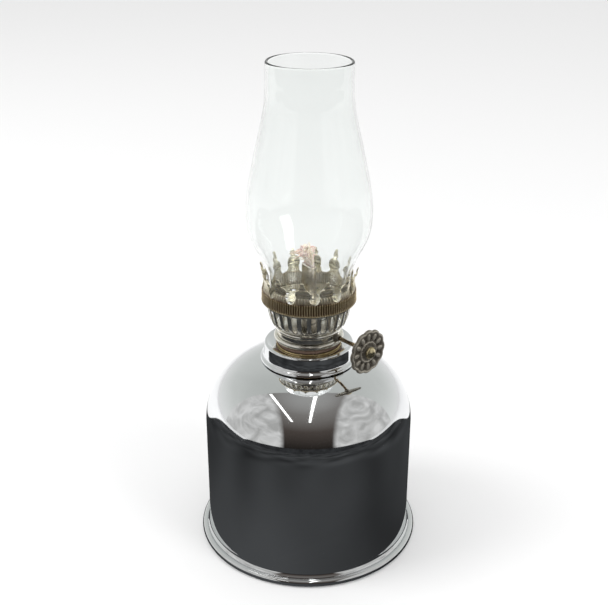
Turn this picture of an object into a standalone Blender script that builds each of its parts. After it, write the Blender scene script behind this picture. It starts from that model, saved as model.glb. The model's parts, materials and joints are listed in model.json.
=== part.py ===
"""A small table oil lamp: a chromed tank, a screw-in flat-wick burner with its
wick raiser, a pronged gallery and a glass chimney. Metres, +Z up, with the lamp's
axis on Z and the surface that it stands on at Z = 0. The knob's shaft runs along +X.
"""

from math import cos, pi, radians, sin, sqrt

import bmesh
import bpy
from mathutils import Matrix, Vector

# ---- Driving dimensions, in metres ----
GAP = 0.0003  # clearance left between two pieces that touch on the real lamp
MERGE = 0.00005
BIG_STEPS = 40  # facets round the tank, the foot and the chimney
SMALL_STEPS = 32  # facets round the burner's turned parts
LAMP_HEIGHT = 0.226

FOOT_RADIUS = 0.052
FOOT_BEAD = 0.00165  # radius of the rolled bead's section
PAN_THICKNESS = 0.001
PAN_FLOOR_Z = 0.0013
REST_INNER_RADIUS = 0.046

TANK_RADIUS = 0.0482
TANK_SHEET = 0.0006
SHOULDER_Z = 0.060  # where the straight side ends
SHOULDER_RUN = 0.0322  # the shoulder is a quarter ellipse: this far in
SHOULDER_RISE = 0.0313  # and this far up
NECK_HOLE_RADIUS = 0.0152
FLARE_Z = 0.0058  # where the side starts to flare out over the foot's bead

COLLAR_FOOT_RADIUS = 0.0222
COLLAR_WALL_RADIUS = 0.0203
COLLAR_FOOT_Z = 0.0913
COLLAR_KINK_Z = 0.0958
COLLAR_TOP_Z = 0.0995
COLLAR_SHEET = 0.0007
COLLAR_EDGE = 0.0010  # radius of the rounded edge between the wall and the dished top
COLLAR_LIP = 0.0006  # upright edge of the skirt

BUSH_RADIUS = 0.0149
BUSH_BORE = 0.0130
BUSH_BOTTOM_Z = 0.0880
BUSH_TOP_Z = 0.0989
BUSH_FLANGE_WIDTH = 0.0030
BUSH_FLANGE_THICKNESS = 0.0010
SEAL_RADIUS = 0.0147
SEAL_THICKNESS = 0.0015

BASE_BEAD_RADIUS = 0.0159
BASE_BORE = 0.0112
BASE_BOTTOM_Z = 0.0899
BASE_FLANGE_Z = 0.1010
BASE_TOP_Z = 0.1035
WAIST_GROOVE_RADIUS = 0.0142
WAIST_BEAD_RADIUS = 0.0151
WAIST_BEAD = 0.0011  # radius of the bead's section
WAIST_BORE = 0.0130
WAIST_TOP_Z = 0.1079

BASKET_BOTTOM_Z = 0.1083
BASKET_TOP_Z = 0.1197
BASKET_SHEET = 0.0005
BASKET_FOOT_RADIUS = 0.0146
SLOT_COUNT = 26
SLOT_WIDTH = 0.0024
SLOT_BOTTOM_Z = 0.1102
SLOT_TOP_Z = 0.1188

BAND_RADIUS = 0.0209
BAND_BOTTOM_Z = 0.1200
BAND_TOP_Z = 0.1256
BAND_LIP_RADIUS = 0.0192  # the band's lower edge turns in to here, over the basket's lip
CROWN_SHEET = 0.0005
PRONG_COUNT = 12
PRONG_TURN = radians(10)
PRONG_HEIGHT = 0.0104

SEAT_Z = 0.1209
SEAT_THICKNESS = 0.0005
SEAT_RADIUS = 0.0200
SEAT_BORE = 0.0045
SEAT_HOLE_COUNT = 12
SEAT_HOLE_RADIUS = 0.0015
SEAT_HOLE_CIRCLE = 0.0110

CHIMNEY_BOTTOM_Z = 0.1218
CHIMNEY_GLASS = 0.0012

TUBE_WIDTH = 0.0076
TUBE_DEPTH = 0.0026
TUBE_SHEET = 0.0004
TUBE_ROUND = 0.0006
TUBE_BOTTOM_Z = 0.0880
TUBE_TOP_Z = 0.1369
WICK_WIDTH = 0.0062
WICK_DEPTH = 0.0014
WICK_BOTTOM_Z = 0.0150
WICK_TOP_Z = 0.1448

SHAFT_Y = 0.0044
SHAFT_Z = 0.1044
SHAFT_RADIUS = 0.00090
SHAFT_PLAY = 0.00020  # clearance round the shaft in what it passes through
SHAFT_START_X = -0.0038
SLEEVE_RADIUS = 0.00145
SLEEVE_START_X = 0.0128
SLEEVE_END_X = 0.0158
WHEEL_RADIUS = 0.0035
WHEEL_TOOTH = 0.0006
WHEEL_TEETH = 14
WHEEL_WIDTH = 0.0010
WHEEL_X = 0.0019
WHEEL_WINDOW = 0.0024  # half the height of the windows in the wick tube
COVER_HALF_WIDTH = 0.0034
COVER_FAR_Y = 0.0084
COVER_BOTTOM_Z = 0.0999
COVER_TOP_Z = 0.1089
COVER_SHEET = 0.0004
PLATE_RADIUS = 0.0141
PLATE_THICKNESS = 0.0006

KNOB_X = 0.0338  # middle of the knob's disc
KNOB_RADIUS = 0.0103
KNOB_LOBES = 12
KNOB_LOBE_DEPTH = 0.0006
KNOB_THICKNESS = 0.0014
BOSS_RADIUS = 0.0021
BOSS_LENGTH = 0.0016
RIVET_RADIUS = 0.0027
RIVET_HEIGHT = 0.0019


# ---- Collections, materials and small helpers ----
def clear_scene():
    for obj in list(bpy.data.objects):
        bpy.data.objects.remove(obj, do_unlink=True)


def new_collection(name):
    made = bpy.data.collections.new(name)
    bpy.context.scene.collection.children.link(made)
    return made


def metal(name, colour, roughness, metallic=1.0):
    made = bpy.data.materials.new(name)
    made.use_nodes = True
    shader = made.node_tree.nodes["Principled BSDF"]
    shader.inputs["Base Color"].default_value = (*colour, 1.0)
    shader.inputs["Roughness"].default_value = roughness
    shader.inputs["Metallic"].default_value = metallic
    made.diffuse_color = (*colour, 1.0)
    return made


def glass(name, colour):
    made = metal(name, colour, 0.02, 0.0)
    shader = made.node_tree.nodes["Principled BSDF"]
    shader.inputs["Transmission Weight"].default_value = 1.0
    shader.inputs["IOR"].default_value = 1.5
    return made


def add_object(name, data, collection, material=None):
    obj = bpy.data.objects.new(name, data)
    collection.objects.link(obj)
    if material is not None:
        obj.data.materials.append(material)
    return obj


def mesh_from_bmesh(name, work):
    bmesh.ops.recalc_face_normals(work, faces=work.faces)
    mesh = bpy.data.meshes.new(name)
    work.to_mesh(mesh)
    work.free()
    return mesh


def smooth(obj, angle=radians(35)):
    obj.data.shade_smooth()
    obj.data.set_sharp_from_angle(angle=angle)


def as_cutter(obj):
    obj.hide_render = True
    obj.display_type = "WIRE"
    return obj


def cut(obj, cutter):
    modifier = obj.modifiers.new("cut " + cutter.name, "BOOLEAN")
    modifier.operation = "DIFFERENCE"
    modifier.solver = "EXACT"
    modifier.object = cutter


# ---- Outlines: lists of (radius, height) ----
def arc(centre_r, centre_z, run, rise, start, end, count):
    """Points along part of an ellipse, from angle start to end in degrees."""
    angles = [radians(start + (end - start) * i / count) for i in range(count + 1)]
    return [(centre_r + run * cos(a), centre_z + rise * sin(a)) for a in angles]


def flowing(points, per_span):
    """A smooth curve through the given points, with per_span steps between neighbours."""
    ends = [points[0], *points, points[-1]]
    curve = []
    for i in range(len(points) - 1):
        before, here, there, after = (Vector(p) for p in ends[i : i + 4])
        for step in range(per_span):
            t = step / per_span
            bend = 2 * before - 5 * here + 4 * there - after
            twist = 3 * here - before - 3 * there + after
            point = here + 0.5 * t * (there - before + t * (bend + t * twist))
            curve.append(tuple(point))
    return [*curve, tuple(points[-1])]


def tank_outline():
    """The tank's outer side, from the neck hole down to the flare over the foot's bead."""
    shoulder = arc(
        TANK_RADIUS - SHOULDER_RUN, SHOULDER_Z, SHOULDER_RUN, SHOULDER_RISE, 90, 0, 9
    )
    return [
        (NECK_HOLE_RADIUS, SHOULDER_Z + SHOULDER_RISE),
        *shoulder,
        (TANK_RADIUS, FLARE_Z),
        (TANK_RADIUS + 0.0003, FLARE_Z - 0.0012),
        (TANK_RADIUS + 0.0012, FLARE_Z - 0.0022),
    ]


def chimney_outline():
    """The chimney's outer side, from the rim down: a straight neck, a bulge and a waist."""
    knots = [
        (0.0184, LAMP_HEIGHT),
        (0.0185, 0.2170),
        (0.0193, 0.2060),
        (0.0237, 0.1860),
        (0.0273, 0.1670),
        (0.0268, 0.1530),
        (0.0219, 0.1415),
        (0.0187, 0.1325),
        (0.0190, CHIMNEY_BOTTOM_Z),
    ]
    return flowing(knots, 2)


# ---- Ways of making a solid ----
def turned(name, outline, collection, material, steps, sheet=None, closed=True):
    """Turn an outline about the lamp's axis. A sheet thickness makes a shell of an open one."""
    mesh = bpy.data.meshes.new(name)
    count = len(outline)
    edges = [(i, i + 1) for i in range(count - 1)]
    if closed and sheet is None:
        edges.append((count - 1, 0))
    mesh.from_pydata([(r, 0.0, z) for r, z in outline], edges, [])
    obj = add_object(name, mesh, collection, material)
    screw = obj.modifiers.new("turn", "SCREW")
    screw.axis = "Z"
    screw.angle = 2 * pi
    screw.steps = steps
    screw.render_steps = steps
    screw.use_smooth_shade = True
    screw.use_merge_vertices = True
    screw.merge_threshold = MERGE
    if sheet is not None:
        shell = obj.modifiers.new("sheet", "SOLIDIFY")
        shell.thickness = sheet
        shell.offset = -1.0
        shell.use_even_offset = True
    return obj


def box(name, low, high, collection, material=None):
    work = bmesh.new()
    bmesh.ops.create_cube(work, size=1.0)
    middle = [(a + b) / 2 for a, b in zip(low, high)]
    sides = [b - a for a, b in zip(low, high)]
    bmesh.ops.scale(work, vec=sides, verts=work.verts)
    bmesh.ops.translate(work, vec=middle, verts=work.verts)
    return add_object(name, mesh_from_bmesh(name, work), collection, material)


def rod(name, start, end, radius, collection, material=None, sides=20, end_radius=None):
    """A round bar between two points, tapered where an end radius is given."""
    start, end = Vector(start), Vector(end)
    along = end - start
    work = bmesh.new()
    bmesh.ops.create_cone(
        work,
        cap_ends=True,
        segments=sides,
        radius1=radius,
        radius2=radius if end_radius is None else end_radius,
        depth=along.length,
    )
    turn = along.to_track_quat("Z", "Y").to_matrix().to_4x4()
    place = Matrix.Translation((start + end) / 2) @ turn
    bmesh.ops.transform(work, matrix=place, verts=work.verts)
    obj = add_object(name, mesh_from_bmesh(name, work), collection, material)
    if material is not None:
        smooth(obj)
    return obj


def prism(work, outline, matrix, depth):
    """Add a flat outline, raised by depth along its own +Z, to a bmesh."""
    ring = [work.verts.new(matrix @ Vector((u, v, 0.0))) for u, v in outline]
    face = work.faces.new(ring)
    raised = bmesh.ops.extrude_face_region(work, geom=[face])
    top = [g for g in raised["geom"] if isinstance(g, bmesh.types.BMVert)]
    shift = matrix.to_3x3() @ Vector((0.0, 0.0, depth))
    bmesh.ops.translate(work, vec=shift, verts=top)


def outward(angle, radius):
    """A frame on the wall at this angle: +X along the wall, +Y up, +Z out from the axis."""
    out = Vector((cos(angle), sin(angle), 0.0))
    along = Vector((-sin(angle), cos(angle), 0.0))
    frame = Matrix((along, Vector((0.0, 0.0, 1.0)), out)).transposed().to_4x4()
    return Matrix.Translation(out * radius) @ frame


# ---- The tank ----
def make_base_pan(parts, material):
    """Bottom plate, recessed above the surface, with the rolled bead that forms the foot."""
    bead_r = FOOT_RADIUS - FOOT_BEAD
    bead = arc(bead_r, FOOT_BEAD, FOOT_BEAD, FOOT_BEAD, 180, -90, 6)
    floor_top = PAN_FLOOR_Z + PAN_THICKNESS
    outline = [
        (0.0, floor_top),
        (REST_INNER_RADIUS - 0.0014, floor_top),
        (REST_INNER_RADIUS - 0.0002, PAN_THICKNESS + 0.0001),
        *bead,
        (REST_INNER_RADIUS, 0.0),
        (REST_INNER_RADIUS - PAN_FLOOR_Z, PAN_FLOOR_Z),
        (0.0, PAN_FLOOR_Z),
    ]
    turned("base_pan", outline, parts, material, BIG_STEPS, closed=False)


def make_font_shell(parts, material):
    turned("font_shell", tank_outline(), parts, material, BIG_STEPS, sheet=TANK_SHEET)


def make_collar(parts, material):
    """Spun collar: a flared skirt on the dome, an upright wall and a dished top."""
    foot, wall, sheet, edge = COLLAR_FOOT_RADIUS, COLLAR_WALL_RADIUS, COLLAR_SHEET, COLLAR_EDGE
    inner = BUSH_RADIUS + GAP
    top = COLLAR_TOP_Z
    dish_z = top - 0.0012
    lip_z = COLLAR_FOOT_Z + COLLAR_LIP
    outline = [
        (inner, dish_z),
        (wall - 0.0026, top - 0.0007),
        *arc(wall - edge, top - edge, edge, edge, 110, 0, 3),
        (wall + 0.0001, COLLAR_KINK_Z),
        (wall + 0.0007, lip_z + 0.0012),
        (foot, lip_z),
        (foot, COLLAR_FOOT_Z),
        (foot - sheet, COLLAR_FOOT_Z),
        (wall - sheet, COLLAR_KINK_Z - 0.0004),
        (wall - sheet, top - 0.0018),
        (wall - 0.0022, top - 0.0013),
        (inner, dish_z - 0.0006),
    ]
    turned("font_collar", outline, parts, material, BIG_STEPS)


def make_thread_bush(parts, material):
    """Threaded neck bush: its flange sits on the dome, under the collar."""
    flange_z = SHOULDER_Z + SHOULDER_RISE + GAP
    outline = [
        (BUSH_BORE, BUSH_TOP_Z),
        (BUSH_RADIUS, BUSH_TOP_Z),
        (BUSH_RADIUS, flange_z + BUSH_FLANGE_THICKNESS),
        (BUSH_RADIUS + BUSH_FLANGE_WIDTH, flange_z + BUSH_FLANGE_THICKNESS),
        (BUSH_RADIUS + BUSH_FLANGE_WIDTH, flange_z),
        (BUSH_RADIUS, flange_z),
        (BUSH_RADIUS, BUSH_BOTTOM_Z),
        (BUSH_BORE, BUSH_BOTTOM_Z),
    ]
    turned("thread_bush", outline, parts, material, SMALL_STEPS)


def make_seal(parts, material):
    low = BASE_FLANGE_Z - GAP - SEAL_THICKNESS
    outline = [
        (BUSH_BORE, low + SEAL_THICKNESS),
        (SEAL_RADIUS, low + SEAL_THICKNESS),
        (SEAL_RADIUS, low),
        (BUSH_BORE, low),
    ]
    turned("seal_washer", outline, parts, material, SMALL_STEPS)


# ---- The burner ----
def shaft_rod(name, start_x, end_x, radius, collection, material=None, sides=16):
    """A round bar on the knob shaft's line, between two X values."""
    start = (start_x, SHAFT_Y, SHAFT_Z)
    end = (end_x, SHAFT_Y, SHAFT_Z)
    return rod(name, start, end, radius, collection, material, sides)


def make_shaft_hole(cutters):
    """Cutter for the hole where the shaft's sleeve passes between the two beads."""
    return as_cutter(shaft_rod("shaft hole", 0.010, 0.020, SLEEVE_RADIUS + GAP, cutters))


def make_burner_base(parts, shaft_hole, material):
    """Threaded spigot with a beaded flange, notched for the shaft's sleeve."""
    spigot = BUSH_BORE - GAP
    bead_z = (BASE_FLANGE_Z + BASE_TOP_Z) / 2
    half = (BASE_TOP_Z - BASE_FLANGE_Z) / 2
    bead = arc(BASE_BEAD_RADIUS - half, bead_z, half, half, 90, -90, 4)
    outline = [
        (BASE_BORE, BASE_TOP_Z),
        *bead,
        (spigot, BASE_FLANGE_Z),
        (spigot, BASE_BOTTOM_Z),
        (BASE_BORE, BASE_BOTTOM_Z),
    ]
    base = turned("burner_base", outline, parts, material, SMALL_STEPS)
    cut(base, shaft_hole)


def make_waist(parts, shaft_hole, material):
    """Grooved waist under the basket, notched for the shaft's sleeve."""
    bottom = BASE_TOP_Z + GAP
    bead_r = WAIST_BEAD_RADIUS - WAIST_BEAD
    bead_z = WAIST_TOP_Z - WAIST_BEAD
    outline = [
        (WAIST_BORE, WAIST_TOP_Z),
        *arc(bead_r, bead_z, WAIST_BEAD, WAIST_BEAD, 90, -80, 4),
        (WAIST_GROOVE_RADIUS, bottom),
        (WAIST_BORE, bottom),
    ]
    waist = turned("burner_waist", outline, parts, material, SMALL_STEPS)
    cut(waist, shaft_hole)


def stadium(width, low, high, count):
    """An upright slot's outline with round ends, centred on zero."""
    half = width / 2
    top = arc(0.0, high - half, half, half, 0, 180, count)
    bottom = arc(0.0, low + half, half, half, 180, 360, count)
    return top + bottom


def make_basket(parts, cutters, material):
    """Slotted air basket: a drawn bowl with a lip under the crown's band."""
    lip = BAND_RADIUS - 0.0004
    lip_z = BASKET_TOP_Z - BASKET_SHEET
    wall = flowing(
        [
            (0.0193, lip_z - 0.0007),
            (0.0185, 0.1150),
            (0.0176, 0.1114),
            (0.0166, BASKET_BOTTOM_Z + 0.0010),
            (BASKET_FOOT_RADIUS, BASKET_BOTTOM_Z),
        ],
        1,
    )
    outline = [(lip, lip_z), (lip - 0.0010, lip_z - 0.0001), *wall]
    steps = 2 * SLOT_COUNT
    basket = turned("air_basket", outline, parts, material, steps, sheet=BASKET_SHEET)
    work = bmesh.new()
    slot = stadium(SLOT_WIDTH, SLOT_BOTTOM_Z, SLOT_TOP_Z, 3)
    for i in range(SLOT_COUNT):
        prism(work, slot, outward(2 * pi * (i + 0.5) / SLOT_COUNT, 0.012), 0.010)
    slots = add_object("basket slots", mesh_from_bmesh("basket slots", work), cutters)
    cut(basket, as_cutter(slots))


def prong_gap_outline():
    """Half of the opening between two prongs, mirrored: heights are above the band's top."""
    pitch = 2 * pi * (BAND_RADIUS - 0.0006) / PRONG_COUNT
    half_widths = [
        (0.0020, 0.00265),
        (0.0030, 0.00265),
        (0.0036, 0.00315),
        (0.0056, 0.00315),
        (0.0066, 0.00230),
        (0.0070, 0.00090),
        (0.0077, 0.00130),
        (0.0087, 0.00130),
        (0.0094, 0.00060),
        (0.0130, 0.00060),
    ]
    side = [(pitch / 2 - half, BAND_TOP_Z + up) for up, half in half_widths]
    bowl = pitch / 2 - 0.0032
    bottom = arc(0.0, BAND_TOP_Z + bowl, bowl, bowl, -90, 0, 3)[1:]
    right = bottom + side
    left = [(-u, z) for u, z in reversed(right)]
    return [(0.0, BAND_TOP_Z), *right, *left]


def make_crown(parts, cutters, material):
    """Gallery: a band round the basket's lip, with prongs that hold the chimney."""
    wall = BAND_RADIUS
    tip_z = BAND_TOP_Z + PRONG_HEIGHT
    prong = flowing(
        [
            (wall + 0.0013, tip_z),
            (wall + 0.0001, tip_z - 0.0030),
            (wall - 0.0008, tip_z - 0.0060),
            (wall - 0.0001, BAND_TOP_Z + 0.0004),
        ],
        2,
    )
    outline = [*prong, (wall, BAND_BOTTOM_Z), (BAND_LIP_RADIUS, BAND_BOTTOM_Z)]
    steps = 4 * PRONG_COUNT
    crown = turned("gallery_crown", outline, parts, material, steps, sheet=CROWN_SHEET)
    work = bmesh.new()
    gap = prong_gap_outline()
    for i in range(PRONG_COUNT):
        angle = PRONG_TURN + 2 * pi * (i + 0.5) / PRONG_COUNT
        prism(work, gap, outward(angle, 0.017), 0.008)
    gaps = add_object("prong gaps", mesh_from_bmesh("prong gaps", work), cutters)
    cut(crown, as_cutter(gaps))


def make_chimney_seat(parts, cutters, material):
    """Perforated floor of the gallery, which the chimney stands on."""
    top = SEAT_Z + SEAT_THICKNESS
    outline = [(SEAT_BORE, top), (SEAT_RADIUS, top), (SEAT_RADIUS, SEAT_Z), (SEAT_BORE, SEAT_Z)]
    seat = turned("chimney_seat", outline, parts, material, SMALL_STEPS)
    work = bmesh.new()
    for i in range(SEAT_HOLE_COUNT):
        angle = 2 * pi * i / SEAT_HOLE_COUNT
        middle = (SEAT_HOLE_CIRCLE * cos(angle), SEAT_HOLE_CIRCLE * sin(angle), SEAT_Z)
        bmesh.ops.create_cone(
            work,
            cap_ends=True,
            segments=10,
            radius1=SEAT_HOLE_RADIUS,
            radius2=SEAT_HOLE_RADIUS,
            depth=8 * SEAT_THICKNESS,
            matrix=Matrix.Translation(middle),
        )
    holes = add_object("seat holes", mesh_from_bmesh("seat holes", work), cutters)
    cut(seat, as_cutter(holes))


def make_tube_plate(parts, cutters, material):
    """Plate across the waist that carries the wick tube and the wheel cover."""
    low = WAIST_TOP_Z + GAP
    start = (0.0, 0.0, low)
    end = (0.0, 0.0, low + PLATE_THICKNESS)
    plate = rod("tube_plate", start, end, PLATE_RADIUS, parts, material, sides=SMALL_STEPS)
    half = TUBE_WIDTH / 2 + GAP
    near = -TUBE_DEPTH / 2 - GAP
    far = COVER_FAR_Y + GAP
    window = box("plate window", (-half, near, low - 0.002), (half, far, low + 0.003), cutters)
    cut(plate, as_cutter(window))


def make_wick_tube(parts, cutters, material):
    """Flat tube, with two windows where the spur wheels reach the wick."""
    half_w, half_d = TUBE_WIDTH / 2, TUBE_DEPTH / 2
    low = (-half_w, -half_d, TUBE_BOTTOM_Z)
    high = (half_w, half_d, TUBE_TOP_Z)
    tube = box("wick_tube", low, high, parts, material)
    rounded = tube.modifiers.new("round sides", "BEVEL")
    rounded.width = TUBE_ROUND
    rounded.segments = 2
    rounded.limit_method = "ANGLE"
    inside_w, inside_d = half_w - TUBE_SHEET, half_d - TUBE_SHEET
    bore_low = (-inside_w, -inside_d, TUBE_BOTTOM_Z - 0.002)
    bore_high = (inside_w, inside_d, TUBE_TOP_Z + 0.002)
    cut(tube, as_cutter(box("tube bore", bore_low, bore_high, cutters)))
    reach = WHEEL_WIDTH / 2 + GAP
    for side in (-1, 1):
        x = side * WHEEL_X
        window_low = (x - reach, half_d / 2, SHAFT_Z - WHEEL_WINDOW)
        window_high = (x + reach, 2 * half_d, SHAFT_Z + WHEEL_WINDOW)
        cut(tube, as_cutter(box(f"wheel window {side}", window_low, window_high, cutters)))


def make_wheel_cover(parts, cutters, material):
    """Open-fronted housing over the spur wheels, drilled for the shaft on both sides."""
    near = TUBE_DEPTH / 2 + GAP
    low = (-COVER_HALF_WIDTH, near, COVER_BOTTOM_Z)
    high = (COVER_HALF_WIDTH, COVER_FAR_Y, COVER_TOP_Z)
    cover = box("wheel_cover", low, high, parts, material)
    inside = COVER_HALF_WIDTH - COVER_SHEET
    inside_low = (-inside, near - 0.001, COVER_BOTTOM_Z + COVER_SHEET)
    inside_high = (inside, COVER_FAR_Y - COVER_SHEET, COVER_TOP_Z - COVER_SHEET)
    cut(cover, as_cutter(box("cover inside", inside_low, inside_high, cutters)))
    reach = 2 * COVER_HALF_WIDTH
    hole = shaft_rod("cover hole", -reach, reach, SHAFT_RADIUS + SHAFT_PLAY, cutters)
    cut(cover, as_cutter(hole))


def make_shaft_sleeve(parts, cutters, material):
    """Short bush in the waist's wall that the shaft turns in."""
    start, end = SLEEVE_START_X, SLEEVE_END_X
    sleeve = shaft_rod("shaft_sleeve", start, end, SLEEVE_RADIUS, parts, material)
    bore_radius = SHAFT_RADIUS + SHAFT_PLAY
    bore = shaft_rod("sleeve bore", start - 0.001, end + 0.001, bore_radius, cutters)
    cut(sleeve, as_cutter(bore))


# ---- The wick raiser, which turns about the shaft's axis ----
def spur_outline():
    points = []
    for tooth in range(WHEEL_TEETH):
        middle = 2 * pi * tooth / WHEEL_TEETH
        step = 2 * pi / WHEEL_TEETH
        root = WHEEL_RADIUS - WHEEL_TOOTH
        flanks = ((-0.32, root), (-0.10, WHEEL_RADIUS), (0.10, WHEEL_RADIUS), (0.32, root))
        for share, radius in flanks:
            angle = middle + share * step
            points.append((radius * cos(angle), radius * sin(angle)))
    return points


def circle(radius, sides):
    angles = [2 * pi * i / sides for i in range(sides)]
    return [(radius * cos(a), radius * sin(a)) for a in angles]


def ring_plate(name, outline, bore, low_x, high_x, parts, material):
    """A flat outline with a round bore, standing across the shaft between two X values."""
    curve = bpy.data.curves.new(name, "CURVE")
    curve.dimensions = "2D"
    curve.fill_mode = "BOTH"
    curve.extrude = (high_x - low_x) / 2
    for ring in (outline, circle(bore, 12)):
        spline = curve.splines.new("POLY")
        spline.points.add(len(ring) - 1)
        spline.use_cyclic_u = True
        for point, (u, v) in zip(spline.points, ring):
            point.co = (u, v, 0.0, 1.0)
    obj = add_object(name, curve, parts, material)
    obj.rotation_euler = (0.0, pi / 2, 0.0)
    obj.location = ((low_x + high_x) / 2, SHAFT_Y, SHAFT_Z)
    return obj


def knob_outline():
    points = []
    for i in range(6 * KNOB_LOBES):
        angle = 2 * pi * i / (6 * KNOB_LOBES)
        radius = KNOB_RADIUS - KNOB_LOBE_DEPTH * (1 - abs(cos(KNOB_LOBES * angle / 2)))
        points.append((radius * cos(angle), radius * sin(angle)))
    return points


def make_raiser(parts, steel, brass, pewter):
    axle = bpy.data.objects.new("raiser axis", None)
    axle.location = (0.0, SHAFT_Y, SHAFT_Z)
    parts.objects.link(axle)
    knob_back = KNOB_X - KNOB_THICKNESS / 2
    knob_front = KNOB_X + KNOB_THICKNESS / 2
    shaft_end = knob_front + 0.0002
    shaft = shaft_rod("raiser_shaft", SHAFT_START_X, shaft_end, SHAFT_RADIUS, parts, steel, 14)
    bore = SHAFT_RADIUS + SHAFT_PLAY
    made = [shaft]
    for label, x in (("inner", -WHEEL_X), ("outer", WHEEL_X)):
        low_x, high_x = x - WHEEL_WIDTH / 2, x + WHEEL_WIDTH / 2
        name = "spur_wheel_" + label
        made.append(ring_plate(name, spur_outline(), bore, low_x, high_x, parts, brass))
    disc = ring_plate("knob_disc", knob_outline(), bore, knob_back, knob_front, parts, pewter)
    boss_end = knob_back - GAP
    boss_start = boss_end - BOSS_LENGTH
    rim = circle(BOSS_RADIUS, 20)
    boss = ring_plate("knob_boss", rim, bore, boss_start, boss_end, parts, brass)
    made += [disc, boss, make_rivet(shaft_end + SHAFT_PLAY, parts, brass)]
    for obj in made:
        hang_on(obj, axle)


def make_rivet(start_x, parts, material):
    """Domed head that closes the shaft's end over the knob's disc."""
    dome = arc(0.0, 0.0, RIVET_RADIUS, RIVET_HEIGHT, 90, 0, 5)
    outline = [*dome, (0.0, 0.0)]
    rivet = turned("knob_rivet", outline, parts, material, 20, closed=False)
    rivet.rotation_euler = (0.0, pi / 2, 0.0)
    rivet.location = (start_x, SHAFT_Y, SHAFT_Z)
    return rivet


def hang_on(obj, axle):
    """Parent an object to the axle without moving it."""
    obj.parent = axle
    obj.matrix_parent_inverse = Matrix.Translation(-Vector(axle.location))


# ---- The wick and the chimney ----
def make_wick(parts, material):
    low = (-WICK_WIDTH / 2, -WICK_DEPTH / 2, WICK_BOTTOM_Z)
    high = (WICK_WIDTH / 2, WICK_DEPTH / 2, WICK_TOP_Z)
    box("wick", low, high, parts, material)


def make_chimney(parts, material):
    turned("chimney", chimney_outline(), parts, material, BIG_STEPS, sheet=CHIMNEY_GLASS)


def main():
    clear_scene()
    parts = new_collection("oil_lamp")
    cutters = new_collection("cutters")
    chrome = metal("chrome", (0.80, 0.81, 0.83), 0.04)
    nickel = metal("nickel plate", (0.72, 0.69, 0.62), 0.16)
    bush_brass = metal("plain brass", (0.62, 0.47, 0.24), 0.32)
    band_brass = metal("aged brass", (0.40, 0.28, 0.16), 0.30)
    pewter = metal("antique pewter", (0.30, 0.28, 0.24), 0.42)
    cork = metal("seal fibre", (0.30, 0.22, 0.16), 0.90, 0.0)
    cotton = metal("cotton wick", (0.86, 0.66, 0.58), 0.95, 0.0)
    clear = glass("clear glass", (0.94, 0.97, 0.96))

    make_base_pan(parts, chrome)
    make_font_shell(parts, chrome)
    make_collar(parts, chrome)
    make_thread_bush(parts, bush_brass)
    make_seal(parts, cork)
    shaft_hole = make_shaft_hole(cutters)
    make_burner_base(parts, shaft_hole, nickel)
    make_waist(parts, shaft_hole, nickel)
    make_basket(parts, cutters, nickel)
    make_crown(parts, cutters, band_brass)
    make_chimney_seat(parts, cutters, nickel)
    make_tube_plate(parts, cutters, nickel)
    make_wick_tube(parts, cutters, nickel)
    make_wheel_cover(parts, cutters, nickel)
    make_shaft_sleeve(parts, cutters, nickel)
    make_raiser(parts, nickel, bush_brass, pewter)
    make_wick(parts, cotton)
    make_chimney(parts, clear)


main()
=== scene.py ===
"""The looks of a small chromed oil lamp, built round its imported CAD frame.

Metres, +Z up, the lamp's axis on Z and the surface that it stands on at Z = 0.
The wick knob's shaft runs along +X.
"""

import json
import random
from math import ceil, cos, exp, hypot, pi, radians, sin, sqrt

import bmesh
import bpy
from mathutils import Matrix, Vector
from mathutils.geometry import delaunay_2d_cdt


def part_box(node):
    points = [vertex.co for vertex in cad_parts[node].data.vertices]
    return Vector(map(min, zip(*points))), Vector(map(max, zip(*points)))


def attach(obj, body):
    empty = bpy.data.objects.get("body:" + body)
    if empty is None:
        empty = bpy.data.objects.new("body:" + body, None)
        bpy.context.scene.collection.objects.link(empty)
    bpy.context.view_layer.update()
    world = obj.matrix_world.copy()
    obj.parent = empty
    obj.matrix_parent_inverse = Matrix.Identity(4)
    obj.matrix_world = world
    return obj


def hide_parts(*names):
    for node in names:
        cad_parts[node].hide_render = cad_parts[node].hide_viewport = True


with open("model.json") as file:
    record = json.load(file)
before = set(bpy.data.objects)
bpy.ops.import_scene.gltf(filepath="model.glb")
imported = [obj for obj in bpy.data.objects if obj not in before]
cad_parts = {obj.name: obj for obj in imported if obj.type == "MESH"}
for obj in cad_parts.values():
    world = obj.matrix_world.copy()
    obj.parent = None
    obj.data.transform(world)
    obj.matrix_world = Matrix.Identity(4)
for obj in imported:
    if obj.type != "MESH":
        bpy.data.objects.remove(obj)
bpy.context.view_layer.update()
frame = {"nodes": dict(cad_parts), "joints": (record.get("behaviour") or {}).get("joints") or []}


# ---- Driving dimensions, in metres; places come from the frame's own boxes ----
def low(node):
    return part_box(node)[0]


def high(node):
    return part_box(node)[1]


def heights(node):
    return low(node).z, high(node).z


def half_height(node):
    return (high(node).z - low(node).z) / 2


def along_x(node):
    """Where a piece on the knob's shaft starts, and its length."""
    return low(node).x, high(node).x - low(node).x


STEPS = 192  # facets round a turned piece
GAP = 0.0003
KNOB_JOINT = next(joint for joint in frame["joints"] if joint["name"] == "knob_turn")
SHAFT_Y, SHAFT_Z = KNOB_JOINT["pos_m"][1:]
THREAD_PITCH = 0.003
THREAD_DEPTH = 0.00022
THREAD_RUN_OUT = 0.0010
THREAD_ROWS = 44

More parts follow.
